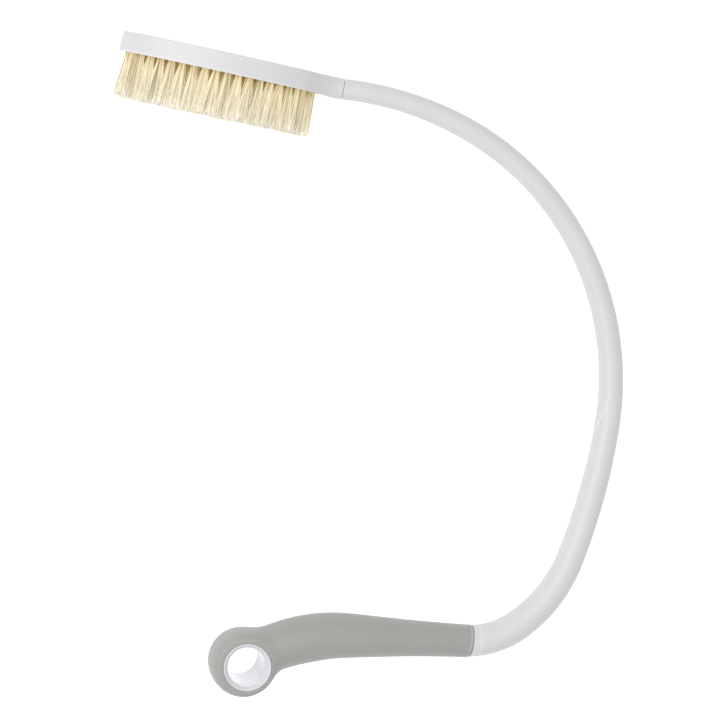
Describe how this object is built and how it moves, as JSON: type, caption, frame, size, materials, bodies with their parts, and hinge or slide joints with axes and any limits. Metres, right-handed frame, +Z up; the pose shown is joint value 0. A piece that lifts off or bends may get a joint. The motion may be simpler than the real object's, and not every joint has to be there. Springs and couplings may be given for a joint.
{
  "type": "long-handled bath brush",
  "caption": "Bath brush with an oval bristle head on a hooked tube handle that reaches round behind the back, a swelling soft grip and a ring at its end to hang it by.",
  "frame": {"origin": "middle of the bounding box in X and Y, on the surface that the brush lies on, z = 0", "axes": "The brush lies on its side, resting on the edge of its head, the grip's palm and the tube's lower bend. +Z up, +Y along its length from the hanging ring's end to the head, +X to the outside of the curved handle. The open side of the hook faces -X."},
  "size_m": [0.3116, 0.3974, 0.0583],
  "materials": {
    "white_plastic": "satin moulded, faintly lavender white",
    "carrier_plastic": "plain moulded white",
    "soft_grip": "satin mid-grey soft-touch elastomer with a fine grain",
    "seal_rubber": "smooth grey",
    "bristle": "cream fibres, golden-brown in the gaps near the roots"
  },
  "bodies": {
    "handle": {"handle_tube": "white_plastic", "grip_core": "carrier_plastic", "grip_collar": "white_plastic", "hanging_ring_liner": "white_plastic", "soft_grip": "soft_grip"},
    "head": {"head_shell": "white_plastic", "bristle_carrier": "carrier_plastic", "bristle_row_outer": "bristle", "bristle_row_second": "bristle", "bristle_row_third": "bristle", "bristle_row_centre": "bristle", "neck_seal": "seal_rubber"}
  },
  "joints": [
    {"name": "head_release", "type": "slide", "parent": "handle", "child": "head", "axis": [-0.9821, 0.1821, 0.048], "range_m": [0, 0.018]}
  ]
}
